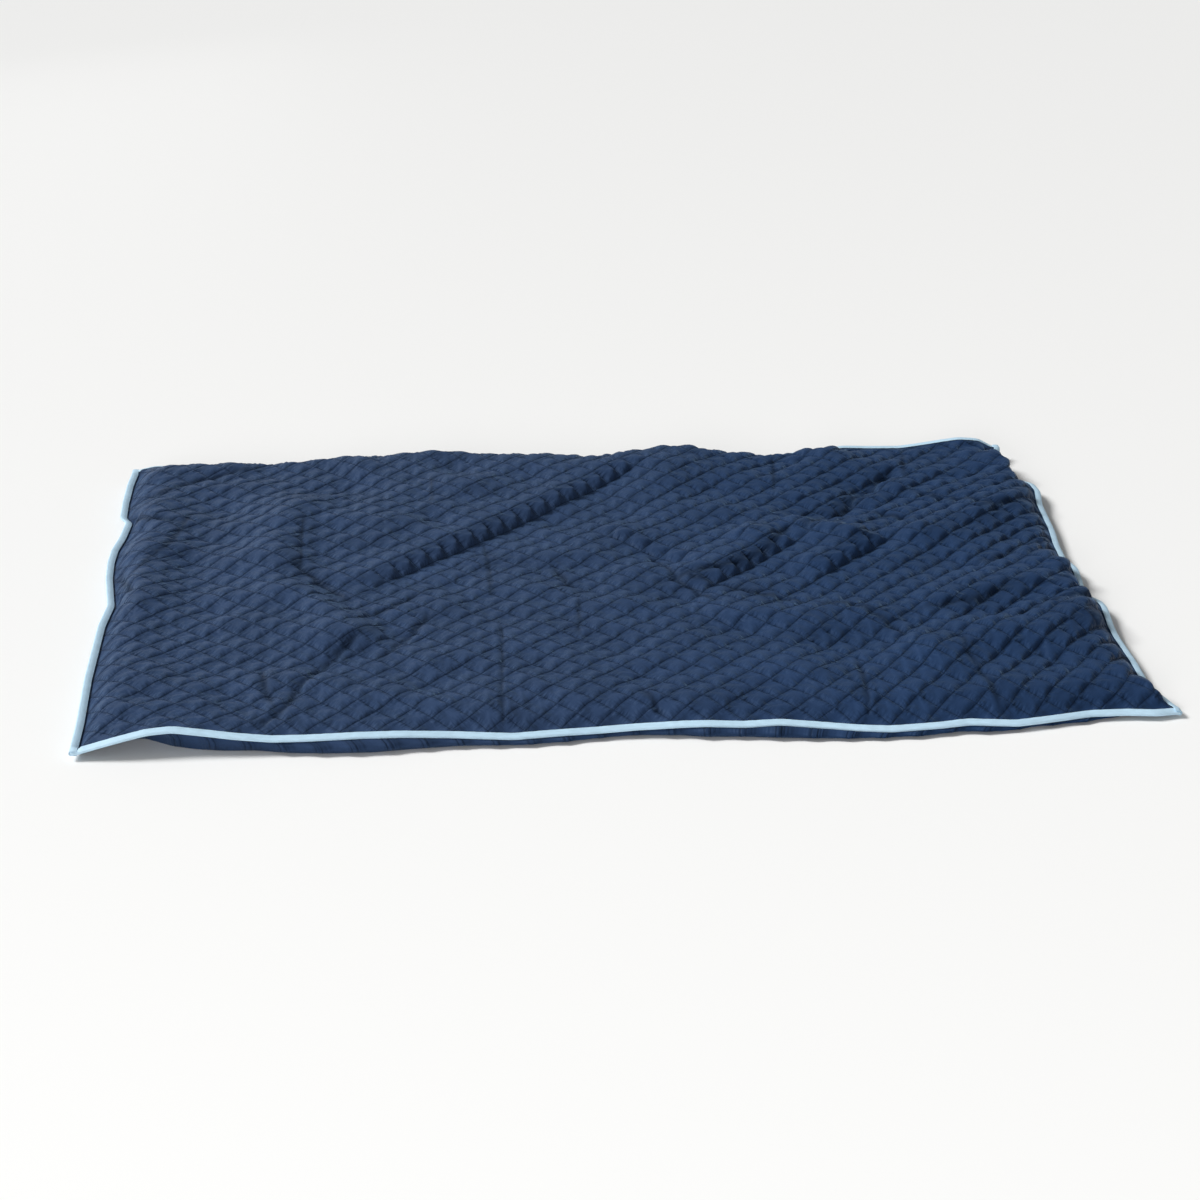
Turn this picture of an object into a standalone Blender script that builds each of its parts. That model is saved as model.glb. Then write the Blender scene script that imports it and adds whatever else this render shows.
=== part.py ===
"""A weighted blanket, lying loosely spread on a flat surface.

One filled quilt of two panels, sewn through in diamonds, with a thin flange all round that a folded tape
binds. The quilt and its four tapes are separate solids. Metres, +Z up. The origin is on the surface that the
blanket lies on, under the middle of its footprint, with the long side along X.
"""

import math

import bmesh
import bpy
import numpy as np

OBJECT_NAME = "weighted_blanket"

# As it lies, the corners are 1.80 m and 1.20 m apart. Cut flat it is 1.83 m by 1.22 m.
LAID_LENGTH = 1.800
LAID_WIDTH = 1.200

# Diamond quilting: so many diamonds along each side, each split at its crossings and crowns.
DIAMONDS_LONG = 30
DIAMONDS_WIDE = 20
COLUMNS = 2 * DIAMONDS_LONG
ROWS = 2 * DIAMONDS_WIDE
QUILT_DEPTH = 0.006  # crowns rise, and crossings sink, by this much

# The sewn-flat edge and the tape folded round it.
FLANGE_WIDTH = 0.014
FLANGE_HALF = 0.0015
TAPE_WALL = 0.001
TAPE_LEG = 0.012
SEW_GAP = 0.0003
FLANGE_INSET = TAPE_WALL + SEW_GAP
TUCK_DROP = 0.0045  # the lower panel starts this far under the flange's middle
BELLY_LIFT = 0.45  # height of the lower panel's widest line, as a share of the flange's height
BELLY_UNDER = 0.008  # from that line in to where the panel meets the surface

BASE_HEIGHT = 0.040  # top panel away from folds and edges
# The width in which it comes down to each edge.
SHOULDERS = {"front": 0.090, "back": 0.050, "left": 0.065, "right": 0.050}

# Each edge, in plan from the middle of the corners: place along it, its outer line, the flange's height, and
# the lower panel's widest line, which lies outside the flange where that panel bellies out.
FRONT_EDGE = (
    # x, line y, height, foot y
    (-0.90, -0.600, 0.012, -0.550),
    (-0.84, -0.600, 0.028, -0.540),
    (-0.79, -0.596, 0.038, -0.572),
    (-0.75, -0.594, 0.040, -0.586),
    (-0.70, -0.598, 0.034, -0.596),
    (-0.65, -0.603, 0.028, -0.599),
    (-0.59, -0.606, 0.022, -0.613),
    (-0.53, -0.608, 0.022, -0.620),
    (-0.45, -0.608, 0.023, -0.623),
    (-0.38, -0.608, 0.022, -0.617),
    (-0.30, -0.607, 0.017, -0.613),
    (-0.20, -0.613, 0.012, -0.619),
    (-0.12, -0.608, 0.013, -0.614),
    (-0.06, -0.603, 0.012, -0.605),
    (0.00, -0.601, 0.014, -0.601),
    (0.08, -0.606, 0.018, -0.609),
    (0.12, -0.609, 0.019, -0.618),
    (0.18, -0.612, 0.016, -0.622),
    (0.24, -0.613, 0.018, -0.631),
    (0.31, -0.621, 0.013, -0.639),
    (0.37, -0.632, 0.011, -0.644),
    (0.42, -0.638, 0.010, -0.646),
    (0.50, -0.636, 0.012, -0.645),
    (0.55, -0.630, 0.013, -0.636),
    (0.63, -0.636, 0.010, -0.641),
    (0.69, -0.626, 0.010, -0.629),
    (0.76, -0.611, 0.009, -0.622),
    (0.82, -0.611, 0.009, -0.611),
    (0.87, -0.618, 0.009, -0.596),
    (0.90, -0.612, 0.008, -0.572),
)
BACK_EDGE = (
    # x, line y, height, foot y
    (-0.90, 0.604, 0.030, 0.580),
    (-0.87, 0.605, 0.036, 0.584),
    (-0.78, 0.605, 0.034, 0.588),
    (-0.66, 0.604, 0.028, 0.592),
    (-0.40, 0.606, 0.028, 0.600),
    (-0.10, 0.600, 0.022, 0.590),
    (0.18, 0.602, 0.028, 0.594),
    (0.42, 0.588, 0.022, 0.578),
    (0.50, 0.594, 0.030, 0.584),
    (0.57, 0.598, 0.036, 0.588),
    (0.62, 0.599, 0.033, 0.589),
    (0.69, 0.599, 0.031, 0.589),
    (0.73, 0.600, 0.035, 0.590),
    (0.775, 0.600, 0.041, 0.590),
    (0.817, 0.600, 0.046, 0.588),
    (0.86, 0.600, 0.042, 0.584),
    (0.89, 0.596, 0.026, 0.572),
)
LEFT_EDGE = (
    # y, line x, height, foot x
    (-0.60, -0.900, 0.012, -0.845),
    (-0.52, -0.897, 0.020, -0.858),
    (-0.36, -0.900, 0.023, -0.884),
    (-0.15, -0.897, 0.026, -0.886),
    (-0.05, -0.890, 0.021, -0.876),
    (0.00, -0.896, 0.023, -0.882),
    (0.07, -0.904, 0.024, -0.888),
    (0.15, -0.908, 0.022, -0.892),
    (0.21, -0.906, 0.022, -0.890),
    (0.27, -0.897, 0.022, -0.884),
    (0.345, -0.890, 0.024, -0.880),
    (0.360, -0.903, 0.027, -0.884),
    (0.45, -0.906, 0.024, -0.888),
    (0.55, -0.905, 0.024, -0.886),
    (0.60, -0.899, 0.030, -0.876),
)
RIGHT_EDGE = (
    # y, line x, height, foot x
    (-0.61, 0.900, 0.008, 0.850),
    (-0.56, 0.882, 0.012, 0.858),
    (-0.51, 0.874, 0.014, 0.862),
    (-0.44, 0.876, 0.016, 0.866),
    (-0.34, 0.874, 0.018, 0.864),
    (-0.30, 0.876, 0.020, 0.866),
    (-0.22, 0.886, 0.022, 0.874),
    (-0.19, 0.884, 0.020, 0.870),
    (-0.14, 0.870, 0.012, 0.862),
    (-0.09, 0.876, 0.018, 0.866),
    (-0.04, 0.881, 0.022, 0.870),
    (0.01, 0.872, 0.020, 0.864),
    (0.08, 0.878, 0.018, 0.868),
    (0.16, 0.889, 0.018, 0.878),
    (0.28, 0.896, 0.022, 0.884),
    (0.35, 0.909, 0.024, 0.892),
    (0.39, 0.907, 0.024, 0.890),
    (0.42, 0.896, 0.018, 0.884),
    (0.48, 0.880, 0.010, 0.868),
    (0.54, 0.874, 0.010, 0.862),
    (0.60, 0.886, 0.026, 0.866),
)

# Folds of the top panel, in plan from the middle of the corners. Each is a ridge (or, with a negative rise,
# a trough) along its points, which fades out over its fade length past both ends. Left and right are the
# flank widths, looking from the first point to the last. The steps run along a sewn line, where the quilt
# bends easily.
FOLDS = (
    # name, rise, left, right, fade, points
    ("left_side_ridge", 0.014, 0.045, 0.055, 0.06,
     ((-0.825, -0.08), (-0.82, 0.05), (-0.812, 0.23), (-0.80, 0.42))),
    ("left_side_trough", -0.003, 0.035, 0.035, 0.05, ((-0.745, -0.05), (-0.75, 0.12), (-0.71, 0.28))),
    ("hooked_ridge", 0.019, 0.080, 0.050, 0.05,
     ((-0.45, -0.25), (-0.50, -0.17), (-0.575, -0.04), (-0.598, 0.08), (-0.592, 0.20), (-0.555, 0.31))),
    ("back_plateau", 0.020, 0.220, 0.120, 0.15, ((-0.45, 0.18), (-0.15, 0.50))),
    ("back_left_ridge", 0.016, 0.070, 0.070, 0.10, ((-0.85, 0.55), (-0.33, 0.57))),
    ("long_step", 0.016, 0.075, 0.022, 0.05, ((-0.403, 0.008), (0.071, 0.480))),
    ("long_step_foot", -0.007, 0.025, 0.090, 0.06, ((-0.35, -0.03), (0.00, 0.32))),
    ("middle_ridge", 0.008, 0.060, 0.026, 0.03, ((0.06, 0.173), (0.186, 0.048))),
    ("arched_ridge", 0.018, 0.040, 0.040, 0.04,
     ((0.29, 0.12), (0.346, 0.16), (0.40, 0.128), (0.47, 0.085))),
    ("first_short_step", 0.015, 0.070, 0.022, 0.035, ((0.195, -0.043), (0.335, 0.096))),
    ("second_short_step", 0.015, 0.070, 0.022, 0.035, ((0.375, -0.040), (0.49, 0.074))),
    ("right_trough", -0.014, 0.025, 0.030, 0.05,
     ((0.40, 0.20), (0.476, 0.224), (0.529, 0.294), (0.60, 0.40))),
    ("right_side_trough", -0.010, 0.025, 0.030, 0.05,
     ((0.527, 0.24), (0.647, 0.316), (0.708, 0.388), (0.782, 0.439))),
    ("back_hump_wide", 0.024, 0.120, 0.120, 0.10, ((0.16, 0.45), (0.20, 0.60))),
    ("back_hump_mid", 0.014, 0.070, 0.060, 0.05, ((0.50, 0.50), (0.53, 0.60))),
    ("back_dip_right", -0.012, 0.060, 0.060, 0.05, ((0.58, 0.56), (0.86, 0.55))),
    ("right_swell_back", 0.016, 0.060, 0.050, 0.06, ((0.62, 0.10), (0.87, 0.30))),
    ("right_swell_mid", 0.018, 0.070, 0.040, 0.06, ((0.60, -0.24), (0.83, -0.08))),
    ("right_swell_front", 0.020, 0.080, 0.050, 0.06, ((0.52, -0.42), (0.70, -0.36), (0.83, -0.28))),
    ("low_middle_ridge", 0.012, 0.050, 0.050, 0.06, ((0.20, -0.20), (0.33, -0.27), (0.42, -0.28))),
)

NAVY = (0.035, 0.065, 0.150, 1.0)
PALE_BLUE = (0.42, 0.66, 0.80, 1.0)


def clear_scene():
    for item in list(bpy.data.objects):
        bpy.data.objects.remove(item, do_unlink=True)


def collection_for_object():
    collection = bpy.data.collections.new(OBJECT_NAME)
    bpy.context.scene.collection.children.link(collection)
    return collection


def fabric(name, colour, roughness):
    material = bpy.data.materials.new(name)
    material.use_nodes = True
    shader = material.node_tree.nodes["Principled BSDF"]
    shader.inputs["Base Color"].default_value = colour
    shader.inputs["Roughness"].default_value = roughness
    shader.inputs["Metallic"].default_value = 0.0
    return material


def add_object(name, mesh, material, collection):
    piece = bpy.data.objects.new(name, mesh)
    mesh.materials.append(material)
    collection.objects.link(piece)
    return piece


class Edge:
    """One edge of the blanket: its line, height and foot at every half diamond, straight between diamonds."""

    def __init__(self, side, rows, diamonds, inward):
        table = np.array(rows)
        stations = np.linspace(table[0, 0], table[-1, 0], diamonds + 1)
        halves = np.linspace(table[0, 0], table[-1, 0], 2 * diamonds + 1)
        read = [np.interp(stations, table[:, 0], table[:, column]) for column in (1, 2, 3)]
        self.line, self.height, self.foot = (np.interp(halves, stations, values) for values in read)
        self.inward = inward
        self.shoulder = SHOULDERS[side]


def fold_rise(x, y, rise, left, right, fade, points):
    """Height that one fold adds at (x, y)."""
    most = 0.0
    for (ax, ay), (bx, by) in zip(points, points[1:]):
        length = math.hypot(bx - ax, by - ay)
        along = ((x - ax) * (bx - ax) + (y - ay) * (by - ay)) / length
        across = ((x - ax) * (by - ay) - (y - ay) * (bx - ax)) / length
        past_end = max(-along, along - length, 0.0)
        flank = right if across > 0 else left
        most = max(most, math.exp(-((across / flank) ** 2) - (past_end / fade) ** 2))
    return rise * most


def relief(x, y):
    """Height of the top panel's seams at (x, y), away from the edges."""
    return BASE_HEIGHT + sum(fold_rise(x, y, *fold[1:]) for fold in FOLDS)


class Layout:
    """Places on the blanket by column 0..COLUMNS from left to right and row 0..ROWS from front to back."""

    def __init__(self):
        self.front = Edge("front", FRONT_EDGE, DIAMONDS_LONG, 1)
        self.back = Edge("back", BACK_EDGE, DIAMONDS_LONG, -1)
        self.left = Edge("left", LEFT_EDGE, DIAMONDS_WIDE, 1)
        self.right = Edge("right", RIGHT_EDGE, DIAMONDS_WIDE, -1)
        self.middle_x = (self.left.line.min() + self.right.line.max()) / 2
        self.middle_y = (self.front.foot.min() + self.back.line.max()) / 2

    def plan(self, column, row, reach):
        """(x, y) of a lattice point on the ring that reach(edge, index) places along each edge."""
        left = reach(self.left, row)
        right = reach(self.right, row)
        front = reach(self.front, column)
        back = reach(self.back, column)
        x = left + (right - left) * column / COLUMNS
        y = front + (back - front) * row / ROWS
        return x - self.middle_x, y - self.middle_y

    def rim(self, column, row):
        """Height of the flange's middle on the nearest edges, shared by closeness."""
        sides = (
            (column, self.left.height[row]),
            (COLUMNS - column, self.right.height[row]),
            (row, self.front.height[column]),
            (ROWS - row, self.back.height[column]),
        )
        for steps, height in sides:
            if steps == 0:
                return height
        shares = [steps**-2 for steps, _ in sides]
        return sum(share * height for share, (_, height) in zip(shares, sides)) / sum(shares)

    def root(self, column, row):
        """A lattice point of the top panel, from flange root to flange root."""
        x, y = self.plan(column, row, flange_root)
        rim = self.rim(column, row) + FLANGE_HALF
        if column in (0, COLUMNS) or row in (0, ROWS):
            return x, y, rim
        from_edges = (
            (column * LAID_LENGTH / COLUMNS, self.left),
            ((COLUMNS - column) * LAID_LENGTH / COLUMNS, self.right),
            (row * LAID_WIDTH / ROWS, self.front),
            ((ROWS - row) * LAID_WIDTH / ROWS, self.back),
        )
        nearest = min(distance / edge.shoulder for distance, edge in from_edges)
        rise = math.sin(math.pi / 2 * min(nearest, 1.0))
        quilting = -QUILT_DEPTH if (column + row) % 2 == 0 else QUILT_DEPTH
        return x, y, rim + (relief(x + self.middle_x, y + self.middle_y) + quilting - rim) * rise

    def flange(self, column, row, inset):
        """A point of the flange's middle; beyond the lattice it is its outer edge, less the inset."""
        inner_column = min(max(column, 0), COLUMNS)
        inner_row = min(max(row, 0), ROWS)
        x, y, z = self.root(inner_column, inner_row)
        out = FLANGE_WIDTH - inset
        return x + out * (column - inner_column), y + out * (row - inner_row), z - FLANGE_HALF


def quilt_mesh(layout):
    """The filled quilt: a grid for its top panel and flange, then ring after ring down to the surface."""
    bm = bmesh.new()
    place = {}
    bmesh.ops.create_grid(bm, x_segments=COLUMNS + 2, y_segments=ROWS + 2, size=1.0)
    for vertex in bm.verts:
        column = round((vertex.co.x + 1) / 2 * (COLUMNS + 2)) - 1
        row = round((vertex.co.y + 1) / 2 * (ROWS + 2)) - 1
        place[vertex] = (column, row)
    split_along_seams(bm, place)
    ring = [edge for edge in bm.edges if edge.is_boundary]
    for vertex, (column, row) in place.items():
        if 0 <= column <= COLUMNS and 0 <= row <= ROWS:
            vertex.co = layout.root(column, row)
        else:
            x, y, z = layout.flange(column, row, FLANGE_INSET)
            vertex.co = (x, y, z + FLANGE_HALF)
    for to_ring in (under_flange, under_root, tuck, belly, foot):
        made = bmesh.ops.extrude_edge_only(bm, edges=ring)["geom"]
        fresh = {item for item in made if isinstance(item, bmesh.types.BMVert)}
        for vertex in fresh:
            beside = {edge.other_vert(vertex) for edge in vertex.link_edges}
            (older,) = beside - fresh
            place[vertex] = place[older]
            vertex.co = to_ring(layout, *place[vertex])
        ring = [item for item in made if isinstance(item, bmesh.types.BMEdge) and set(item.verts) <= fresh]
    bmesh.ops.contextual_create(bm, geom=ring)
    bmesh.ops.remove_doubles(bm, verts=bm.verts, dist=1e-6)
    bmesh.ops.triangulate(bm, faces=bm.faces)
    bmesh.ops.recalc_face_normals(bm, faces=bm.faces)
    mesh = bpy.data.meshes.new("quilt")
    bm.to_mesh(mesh)
    bm.free()
    return mesh


def split_along_seams(bm, place):
    """Each square of the grid is split along the sewn line that crosses it."""
    for face in list(bm.faces):
        seam = [vertex for vertex in face.verts if sum(place[vertex]) % 2 == 0]
        bmesh.utils.face_split(face, *seam)


def flange_root(edge, index):
    return edge.line[index] + edge.inward * FLANGE_WIDTH


def inner(column, row):
    return min(max(column, 0), COLUMNS), min(max(row, 0), ROWS)


def under_flange(layout, column, row):
    x, y, z = layout.flange(column, row, FLANGE_INSET)
    return x, y, z - FLANGE_HALF


def under_root(layout, column, row):
    column, row = inner(column, row)
    x, y = layout.plan(column, row, flange_root)
    return x, y, layout.rim(column, row) - FLANGE_HALF


def tuck(layout, column, row):
    column, row = inner(column, row)
    x, y = layout.plan(column, row, lambda edge, index: flange_root(edge, index) + edge.inward * SEW_GAP)
    return x, y, layout.rim(column, row) - TUCK_DROP


def belly(layout, column, row):
    column, row = inner(column, row)
    x, y = layout.plan(column, row, lambda edge, index: edge.foot[index])
    return x, y, layout.rim(column, row) * BELLY_LIFT


def foot(layout, column, row):
    column, row = inner(column, row)
    x, y = layout.plan(column, row, lambda edge, index: edge.foot[index] + edge.inward * BELLY_UNDER)
    return x, y, 0.0


def tape_mesh(name, stations, outward):
    """A tape folded level round the flange's outer line, with one row of points for each station."""
    across, up = TAPE_LEG - TAPE_WALL, FLANGE_HALF + SEW_GAP
    section = ((-across, up), (0.0, up), (0.0, -up), (-across, -up))
    bm = bmesh.new()
    bmesh.ops.create_grid(bm, x_segments=len(stations) - 1, y_segments=len(section) - 1, size=1.0)
    for vertex in bm.verts:
        x, y, z = stations[round((vertex.co.x + 1) / 2 * (len(stations) - 1))]
        out, lift = section[round((vertex.co.y + 1) / 2 * (len(section) - 1))]
        vertex.co = (x + out * outward[0], y + out * outward[1], z + lift)
    bmesh.ops.recalc_face_normals(bm, faces=bm.faces)
    mesh = bpy.data.meshes.new(name)
    bm.to_mesh(mesh)
    bm.free()
    return mesh


def add_tape(name, stations, outward, material, collection):
    piece = add_object(name, tape_mesh(name, stations, outward), material, collection)
    solid = piece.modifiers.new("wall", "SOLIDIFY")
    solid.thickness = TAPE_WALL
    solid.offset = 1.0
    solid.use_even_offset = True
    return piece


def tape_stations(layout, side):
    """Points along a tape's inner fold. A side tape runs over both corners; a long tape stops against it."""
    if side in ("left", "right"):
        column = -1 if side == "left" else COLUMNS + 1
        rows = [-1, *range(0, ROWS + 1, 2), ROWS + 1]
        points = [layout.flange(column, row, TAPE_WALL) for row in rows]
        reach = (-TAPE_WALL, TAPE_WALL)
        axis = 1
    else:
        row = -1 if side == "front" else ROWS + 1
        columns = [-1, *range(0, COLUMNS + 1, 2), COLUMNS + 1]
        points = [layout.flange(column, row, TAPE_WALL) for column in columns]
        reach = (TAPE_LEG + SEW_GAP - TAPE_WALL, -(TAPE_LEG + SEW_GAP - TAPE_WALL))
        axis = 0
    ends = [list(points[0]), list(points[-1])]
    for end, shift in zip(ends, reach):
        end[axis] += shift
    return [ends[0], *points[1:-1], ends[1]]


def main():
    clear_scene()
    collection = collection_for_object()
    layout = Layout()
    shell = fabric("navy_quilted_fabric", NAVY, 0.55)
    tape = fabric("pale_blue_tape", PALE_BLUE, 0.60)
    add_object("quilt", quilt_mesh(layout), shell, collection)
    outward = {"front": (0, -1), "back": (0, 1), "left": (-1, 0), "right": (1, 0)}
    for side, direction in outward.items():
        add_tape(f"binding_{side}", tape_stations(layout, side), direction, tape, collection)


main()
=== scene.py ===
"""Looks of the weighted blanket: a padded quilt, four folded tapes, stitches, a pale floor and soft light.

Metres, +Z up, in the frame of the CAD model. The tables of edges, folds and steps are the CAD's, with creases
and pleats added. The top panel is laid on its folds without stretching, then worked as a cloth held
at its quilting seams, so that it puffs and puckers between them.
"""

import math
from collections import namedtuple

import bmesh
import bpy
import numpy as np
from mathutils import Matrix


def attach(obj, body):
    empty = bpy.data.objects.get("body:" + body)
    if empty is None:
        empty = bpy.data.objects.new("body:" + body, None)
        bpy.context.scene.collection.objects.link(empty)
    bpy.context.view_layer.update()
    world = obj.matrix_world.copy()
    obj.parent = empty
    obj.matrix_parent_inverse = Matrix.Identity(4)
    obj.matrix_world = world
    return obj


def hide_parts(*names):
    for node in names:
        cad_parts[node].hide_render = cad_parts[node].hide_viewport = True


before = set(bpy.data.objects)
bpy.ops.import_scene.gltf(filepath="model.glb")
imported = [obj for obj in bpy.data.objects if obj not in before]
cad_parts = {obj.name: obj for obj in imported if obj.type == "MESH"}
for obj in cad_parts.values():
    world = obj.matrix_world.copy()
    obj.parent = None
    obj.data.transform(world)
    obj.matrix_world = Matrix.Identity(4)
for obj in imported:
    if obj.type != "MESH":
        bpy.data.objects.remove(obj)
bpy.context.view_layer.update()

# Size as laid, and as cut flat.
LAID_LENGTH = 1.800
LAID_WIDTH = 1.200
FLAT_LENGTH = 1.830
FLAT_WIDTH = 1.220

# The quilting: 30 by 20 diamonds, two columns or rows to a diamond, and mesh cells to each of those.
COLUMNS = 60
ROWS = 40
CELLS = 6
ACROSS = COLUMNS * CELLS
DEEP = ROWS * CELLS

# The flange is the sewn-flat edge under the tape. The rest of the top is the panel.
FLANGE_WIDTH = 0.014
FLANGE_HALF = 0.0015
FLANGE_INSET = 0.0013
PANEL_LENGTH = FLAT_LENGTH - 2 * FLANGE_WIDTH
PANEL_WIDTH = FLAT_WIDTH - 2 * FLANGE_WIDTH
CELL_LENGTH = PANEL_LENGTH / ACROSS
CELL_DEPTH = PANEL_WIDTH / DEEP

# The tape, folded in a C. Its crown is given by shares of its upper leg with rises, its underside by
# shares of its lower leg. At the corners a short side's tape rises over a long side's.
TAPE_WALL = 0.0009
TAPE_LEG = 0.012
TAPE_CROWN = ((0.75, 0.0003), (0.5, 0.0005), (0.25, 0.0004))
TAPE_UNDERSIDE = (0.33, 0.66, 1.0)
TAPE_LIP = 0.0002
TAPE_LIP_WIDTH = 0.0012
FOLD_FACETS = 8
FOLD_CENTRE = 0.6
TAPE_WAVES = (0.031, 0.043, 0.067)
TAPE_PUCKER = 0.00018
TAPE_SEED = 21
SEW_GAP = 0.0003
LAP_RISE = 0.0010
LAP_FADE = 0.010

# Stitches are short spindles.
STITCH_LIFT = 0.00015
STITCH_HALF = 0.00145
STITCH_RADIUS = 0.00036
TAPE_STITCH_PITCH = 0.0034
TAPE_STITCH_HALF = 0.0013
TAPE_STITCH_RADIUS = 0.00035
TAPE_STITCH_LIFT = 0.0002
TAPE_STITCH_MARGIN = 0.0032
STITCH_LOOK_AHEAD = 0.001

# The lower panel starts a little below the flange's root, bulges, and turns in under its foot; depth in rows.
TUCK_DROP = 0.0045
BELLY_UNDER = 0.008
BELLY_RINGS = 6
BELLY_DEPTH = 1.7
BELLY_PUFF = 0.0045
WELD = 2e-5

# The quilt's height away from its edges, and the uneven swell of its surface.
BASE_HEIGHT = 0.040
RIPPLE_SPREAD = (0.75, 1.4)
RIPPLES = (
    # height, wavelength, seed
    (0.0025, 0.20, 11),
    (0.0015, 0.09, 12),
)

# The diamonds: puff at the left and at the right edge, how it differs from one to the next, and its form.
PUFF_LEFT = 0.0044
PUFF_RIGHT = 0.0118
PUFF_RANGE = (0.78, 1.22)
PUFF_DRAWS = 128
PUFF_SEED = 3
DOME_POWER = 2.8
HIP_SHARE = 0.45
SLIDE_RIGHT = 1.25
SLIDE_FRONT = 1.7
PLEAT_HOLD = 0.75
EDGE_FADE = 0.9

# How the panel is laid on its folds.
LAYING_ROUNDS = 900
LAYING_PULL = 0.5
LAYING_RETURN = 0.002

# How the cloth is worked: it is larger than its place by its ease, and stays within limits of its puff.
EASE_LEFT = 1.034
EASE_RIGHT = 1.055
CLOTH_STEPS = 40
CLOTH_PASSES = 3
KEPT_SPEED = 0.85
PRESSURE = 0.00004
STIR = 0.0006
STIR_SEED = 5
SEAM_PULL = 0.5
LIMIT_PULL = 0.7
LEAST_PUFF = 0.75
LEAST_PUFF_ON_STEPS = 0.92
MOST_PUFF = 1.06
LEAST_SLACK = 0.0002
MOST_SLACK = 0.0005
CLOTH_LINKS = (
    # cells along, cells deep, stiffness
    (1, 0, 0.8),
    (0, 1, 0.8),
    (1, 1, 0.4),
    (1, -1, 0.4),
    (2, 0, 0.10),
    (0, 2, 0.10),
)

# Colours. Towards the right the fabric's colour turns to a deep blue, which is painted shade: the right of
# the blanket gets less light and sheen.
FABRIC_COLOUR = (0.0240, 0.0447, 0.0985)
PAINTED_SHADE_FABRIC_COLOUR = (0.0170, 0.0405, 0.1030)
THREAD_COLOUR = (0.0085, 0.0240, 0.0700)
TAPE_COLOUR = (0.50, 0.70, 0.85)
TAPE_THREAD_COLOUR = (0.52, 0.72, 0.86)
FLOOR_COLOUR = (0.90, 0.90, 0.89, 1)

# Turns of shade: from, to, the factor before and the factor after. A sewn line's are by metres from it, those
# towards the right by metres along the cloth, and the rest by noise. The valley's darkening and the turns
# towards the right are painted shade.
THREAD_LINE = (0.0004, 0.0012, 0.62, 1.0)
# Painted shade in the valley beside each sewn line.
VALLEY_PAINTED_SHADE = (0.0, 0.0070, 0.82, 1.0)
# Painted shade: the fabric darkens towards the right, where the light falls less.
PAINTED_SHADE_TO_RIGHT = (0.5, 1.7, 1.06, 0.84)
# Painted shade: the blue deepens towards the right, standing in for less light and sheen there.
PAINTED_DEEPENING_TO_RIGHT = (0.5, 1.7, 0.0, 1.0)
MOTTLE = (0.25, 0.75, 0.90, 1.10)
MOTTLE_SCALE = 9.0
WORN = (0.25, 0.75, 0.93, 1.05)
WORN_SCALES = (60.0, 200.0)
FLECK = (0.3, 0.7, 0.85, 1.15)
FLECK_SCALE = 900.0

# The surface's finest relief and shade; the darkening of creases is painted shade.
WEAVE_PITCH = 0.0008
WEAVE_RELIEF = 0.000018
WEAVE_SHADE = 0.06
CREASE_PAINTED_SHADE = -0.55
SEAM_DIP = -0.0004
SEAM_DIP_WIDTH = 0.0022
RIB_PITCH = 0.0012
RIB_RELIEF = 0.00006
RIB_SHADE = 0.05
TAPE_THREAD_RELIEF = 0.00002
PUCKERS = (
    # size along a seam, size across it, start, reach, height, seed added
    (5.0, 0.9, 0.0005, 0.016, 0.0011, 0.0),
    (2.3, 0.7, 0.0005, 0.021, 0.0060, 20.0),
)

# The camera's place and lens are fitted to the photograph, in metres, degrees and millimetres.
CAMERA_LENS = 72.69
CAMERA_PLACE = (-0.3715, -4.0413, 1.7988)
CAMERA_PITCH = 65.911
CAMERA_TURN = -5.196
WORLD_STRENGTH = 0.232
FLOOR_HALF = 30.0
FLOOR_DROP = 0.0004

FRONT_EDGE = (
    # x, line y, height, foot y
    (-0.90, -0.600, 0.012, -0.550),
    (-0.84, -0.600, 0.028, -0.540),
    (-0.79, -0.596, 0.038, -0.572),
    (-0.75, -0.594, 0.040, -0.586),
    (-0.70, -0.598, 0.034, -0.596),
    (-0.65, -0.603, 0.028, -0.599),
    (-0.59, -0.606, 0.022, -0.613),
    (-0.53, -0.608, 0.022, -0.620),
    (-0.45, -0.608, 0.023, -0.623),
    (-0.38, -0.608, 0.022, -0.617),
    (-0.30, -0.607, 0.017, -0.613),
    (-0.20, -0.613, 0.012, -0.619),
    (-0.12, -0.608, 0.013, -0.614),
    (-0.06, -0.603, 0.012, -0.605),
    (0.00, -0.601, 0.014, -0.601),
    (0.08, -0.606, 0.018, -0.609),
    (0.12, -0.609, 0.019, -0.618),
    (0.18, -0.612, 0.016, -0.622),
    (0.24, -0.613, 0.018, -0.631),
    (0.31, -0.621, 0.013, -0.639),
    (0.37, -0.632, 0.011, -0.644),
    (0.42, -0.638, 0.010, -0.646),
    (0.50, -0.636, 0.012, -0.645),
    (0.55, -0.630, 0.013, -0.636),
    (0.63, -0.636, 0.010, -0.641),
    (0.69, -0.626, 0.010, -0.629),
    (0.76, -0.611, 0.009, -0.622),
    (0.82, -0.611, 0.009, -0.611),
    (0.87, -0.618, 0.009, -0.596),
    (0.90, -0.612, 0.007, -0.572),
)
BACK_EDGE = (
    # x, line y, height, foot y
    (-0.90, 0.604, 0.030, 0.580),
    (-0.87, 0.605, 0.036, 0.584),
    (-0.78, 0.605, 0.034, 0.588),
    (-0.66, 0.604, 0.028, 0.592),
    (-0.40, 0.606, 0.028, 0.600),
    (-0.10, 0.600, 0.022, 0.590),
    (0.18, 0.602, 0.028, 0.594),
    (0.42, 0.588, 0.022, 0.578),
    (0.50, 0.594, 0.030, 0.584),
    (0.57, 0.598, 0.036, 0.588),
    (0.62, 0.599, 0.033, 0.589),
    (0.69, 0.599, 0.031, 0.589),
    (0.73, 0.600, 0.035, 0.590),
    (0.775, 0.600, 0.041, 0.590),
    (0.817, 0.600, 0.046, 0.588),
    (0.86, 0.600, 0.042, 0.584),
    (0.89, 0.596, 0.026, 0.572),
)
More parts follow.
